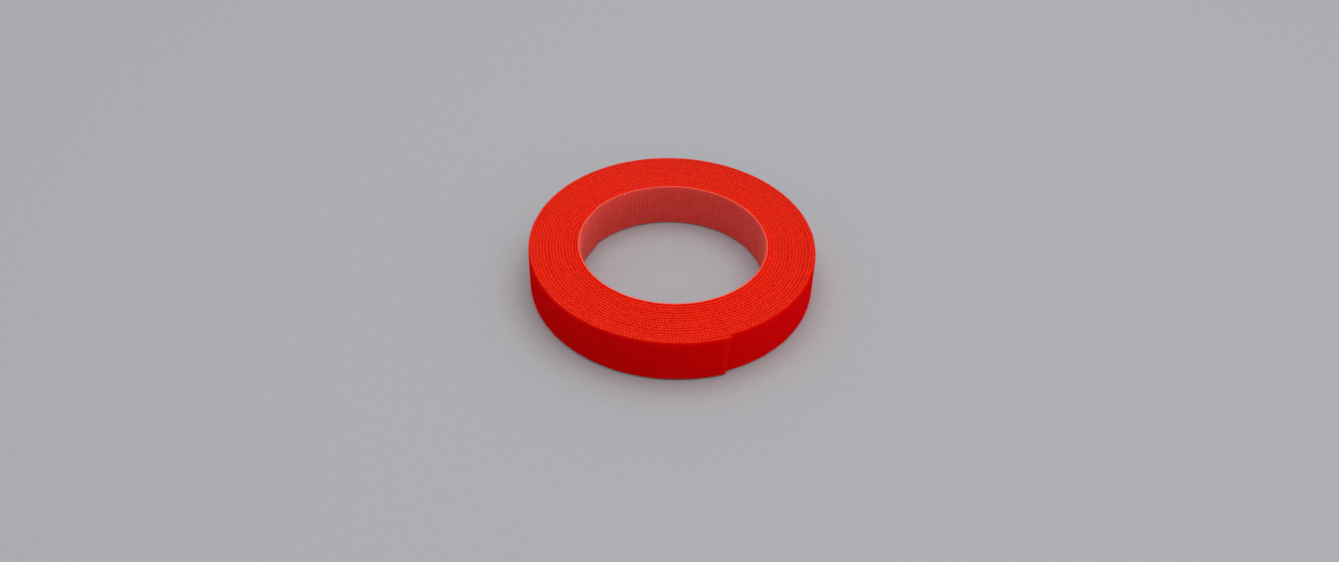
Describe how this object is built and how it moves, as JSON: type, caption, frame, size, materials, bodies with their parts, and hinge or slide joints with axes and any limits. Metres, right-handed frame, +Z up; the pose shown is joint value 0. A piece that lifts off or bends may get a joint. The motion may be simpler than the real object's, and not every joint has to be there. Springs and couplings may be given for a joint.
{
  "type": "hook and loop tape roll",
  "caption": "Coreless roll of flat two-sided hook and loop tape, loop cloth outside and hook film towards the bore, with an outer pull tab and an inner tail that peel away.",
  "frame": {"origin": "on the winding axis, in the plane of the lower edge of the tape, on which the roll lies", "axes": "+Z up along the winding axis; seen from above the radius grows counter-clockwise; +X right and -Y towards the viewer of the picture"},
  "size_m": [0.1147, 0.1149, 0.019],
  "materials": {
    "loop_cloth": "brushed loop pile, dyed red",
    "hook_film": "moulded film with rows of small hooks, dusty red"
  },
  "bodies": {
    "coil": {"loop_cloth_coil": "loop_cloth", "hook_film_coil": "hook_film"},
    "pull_tab_1": {"loop_cloth_pull_tab_1": "loop_cloth", "hook_film_pull_tab_1": "hook_film"},
    "pull_tab_2": {"loop_cloth_pull_tab_2": "loop_cloth", "hook_film_pull_tab_2": "hook_film"},
    "pull_tab_3": {"loop_cloth_pull_tab_3": "loop_cloth", "hook_film_pull_tab_3": "hook_film"},
    "pull_tab_4": {"loop_cloth_pull_tab_4": "loop_cloth", "hook_film_pull_tab_4": "hook_film"},
    "pull_tab_5": {"loop_cloth_pull_tab_5": "loop_cloth", "hook_film_pull_tab_5": "hook_film"},
    "pull_tab_6": {"loop_cloth_pull_tab_6": "loop_cloth", "hook_film_pull_tab_6": "hook_film"},
    "inner_tail_1": {"loop_cloth_inner_tail_1": "loop_cloth", "hook_film_inner_tail_1": "hook_film"},
    "inner_tail_2": {"loop_cloth_inner_tail_2": "loop_cloth", "hook_film_inner_tail_2": "hook_film"},
    "inner_tail_3": {"loop_cloth_inner_tail_3": "loop_cloth", "hook_film_inner_tail_3": "hook_film"}
  },
  "joints": [
    {"name": "pull_tab_1_flex", "type": "hinge", "parent": "coil", "child": "pull_tab_1", "pos_m": [-0.03506, -0.04603, 0], "axis": [0, 0, -1], "range_deg": [0, 30]},
    {"name": "pull_tab_2_flex", "type": "hinge", "parent": "pull_tab_1", "child": "pull_tab_2", "pos_m": [-0.02602, -0.05172, 0], "axis": [0, 0, -1], "range_deg": [0, 30]},
    {"name": "pull_tab_3_flex", "type": "hinge", "parent": "pull_tab_2", "child": "pull_tab_3", "pos_m": [-0.01608, -0.05566, 0], "axis": [0, 0, -1], "range_deg": [0, 30]},
    {"name": "pull_tab_4_flex", "type": "hinge", "parent": "pull_tab_3", "child": "pull_tab_4", "pos_m": [-0.00559, -0.0577, 0], "axis": [0, 0, -1], "range_deg": [0, 30]},
    {"name": "pull_tab_5_flex", "type": "hinge", "parent": "pull_tab_4", "child": "pull_tab_5", "pos_m": [0.00511, -0.05779, 0], "axis": [0, 0, -1], "range_deg": [0, 30]},
    {"name": "pull_tab_6_flex", "type": "hinge", "parent": "pull_tab_5", "child": "pull_tab_6", "pos_m": [0.01566, -0.0559, 0], "axis": [0, 0, -1], "range_deg": [0, 30]},
    {"name": "inner_tail_1_flex", "type": "hinge", "parent": "coil", "child": "inner_tail_1", "pos_m": [-0.03772, 0.00015, 0], "axis": [0, 0, -1], "range_deg": [0, 30]},
    {"name": "inner_tail_2_flex", "type": "hinge", "parent": "inner_tail_1", "child": "inner_tail_2", "pos_m": [-0.03687, 0.00705, 0], "axis": [0, 0, -1], "range_deg": [0, 30]},
    {"name": "inner_tail_3_flex", "type": "hinge", "parent": "inner_tail_2", "child": "inner_tail_3", "pos_m": [-0.03469, 0.0136, 0], "axis": [0, 0, -1], "range_deg": [0, 30]}
  ],
  "couplings": [
    {"joint": "pull_tab_2_flex", "follows": "pull_tab_1_flex", "ratio": 1},
    {"joint": "pull_tab_3_flex", "follows": "pull_tab_1_flex", "ratio": 1},
    {"joint": "pull_tab_4_flex", "follows": "pull_tab_1_flex", "ratio": 1},
    {"joint": "pull_tab_5_flex", "follows": "pull_tab_1_flex", "ratio": 1},
    {"joint": "pull_tab_6_flex", "follows": "pull_tab_1_flex", "ratio": 1},
    {"joint": "inner_tail_2_flex", "follows": "inner_tail_1_flex", "ratio": 1},
    {"joint": "inner_tail_3_flex", "follows": "inner_tail_1_flex", "ratio": 1}
  ]
}
